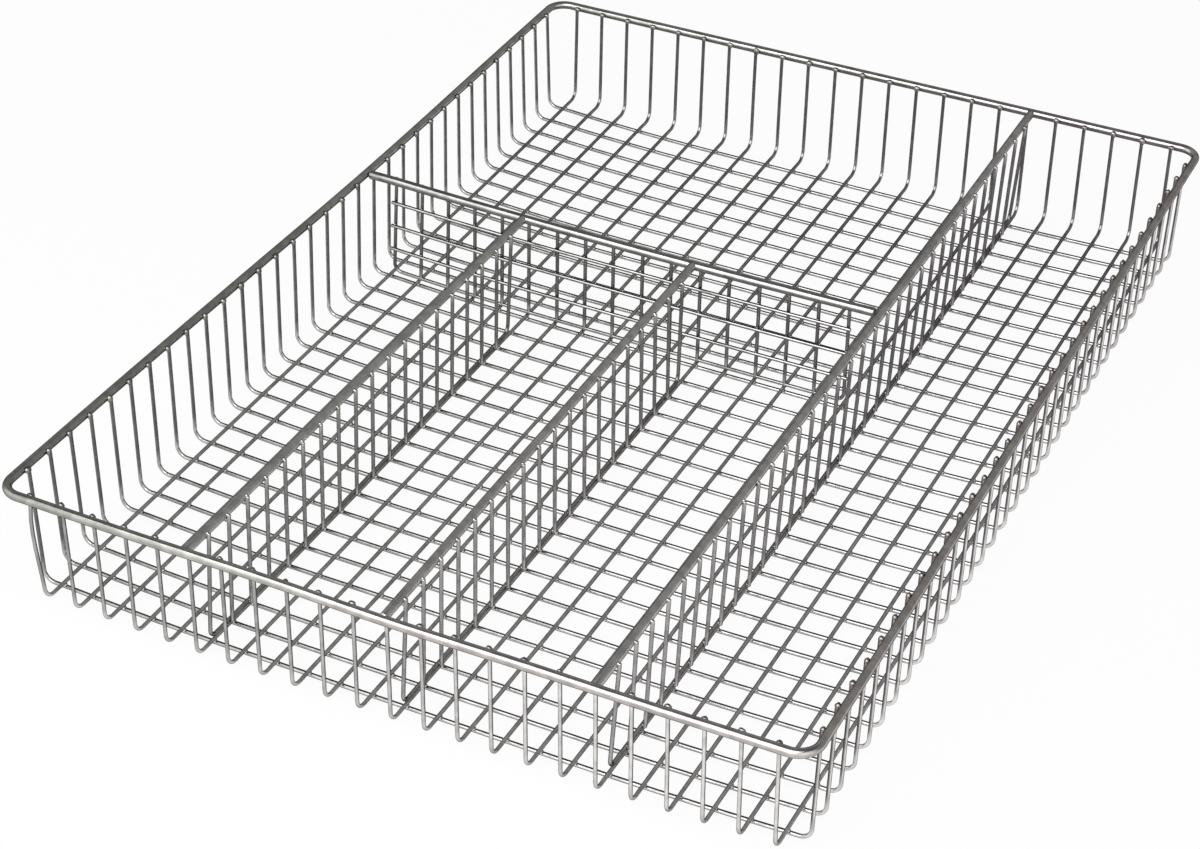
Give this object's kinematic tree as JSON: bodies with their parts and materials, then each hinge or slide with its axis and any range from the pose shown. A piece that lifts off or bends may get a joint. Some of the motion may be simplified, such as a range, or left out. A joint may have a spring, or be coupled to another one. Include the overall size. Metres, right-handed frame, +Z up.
{
  "type": "cutlery drawer tray",
  "caption": "Shallow rectangular welded wire tray with a heavy rim and wire divider panels that part it into compartments for cutlery in a drawer.",
  "frame": {"origin": "under the middle of the floor, on the surface that the tray stands on", "axes": "+X to the right along the front, +Y from front to back along the long dividers, +Z up"},
  "size_m": [0.3064, 0.439, 0.05],
  "materials": {
    "mesh_wire": "bright plated thin wire",
    "heavy_wire": "bright plated heavy wire",
    "divider_panel": "bright plated wire"
  },
  "bodies": {
    "root": {"long_wire_01": "mesh_wire", "long_wire_02": "mesh_wire", "long_wire_03": "mesh_wire", "long_wire_04": "mesh_wire", "long_wire_05": "mesh_wire", "long_wire_06": "mesh_wire", "long_wire_07": "mesh_wire", "long_wire_08": "mesh_wire", "long_wire_09": "mesh_wire", "long_wire_10": "mesh_wire", "long_wire_11": "mesh_wire", "long_wire_12": "mesh_wire", "long_wire_13": "mesh_wire", "long_wire_14": "mesh_wire", "long_wire_15": "mesh_wire", "long_wire_16": "mesh_wire", "long_wire_17": "mesh_wire", "long_wire_19": "mesh_wire", "long_wire_20": "mesh_wire", "long_wire_21": "mesh_wire", "long_wire_22": "mesh_wire", "long_wire_23": "mesh_wire", "cross_wire_01": "mesh_wire", "cross_wire_02": "mesh_wire", "cross_wire_03": "mesh_wire", "cross_wire_04": "mesh_wire", "cross_wire_05": "mesh_wire", "cross_wire_06": "mesh_wire", "cross_wire_07": "mesh_wire", "cross_wire_08": "mesh_wire", "cross_wire_09": "mesh_wire", "cross_wire_10": "mesh_wire", "cross_wire_11": "mesh_wire", "cross_wire_12": "mesh_wire", "cross_wire_13": "mesh_wire", "cross_wire_14": "mesh_wire", "cross_wire_15": "mesh_wire", "cross_wire_16": "mesh_wire", "cross_wire_17": "mesh_wire", "cross_wire_18": "mesh_wire", "cross_wire_19": "mesh_wire", "cross_wire_20": "mesh_wire", "cross_wire_21": "mesh_wire", "cross_wire_22": "mesh_wire", "cross_wire_23": "mesh_wire", "cross_wire_24": "mesh_wire", "cross_wire_25": "mesh_wire", "cross_wire_26": "mesh_wire", "cross_wire_27": "mesh_wire", "cross_wire_28": "mesh_wire", "cross_wire_29": "mesh_wire", "cross_wire_30": "mesh_wire", "cross_wire_31": "mesh_wire", "cross_wire_32": "mesh_wire", "cross_wire_33": "mesh_wire", "rim_wire": "heavy_wire", "divider_left": "divider_panel", "divider_middle": "divider_panel", "divider_right": "divider_panel", "divider_cross": "divider_panel"}
  },
  "joints": []
}
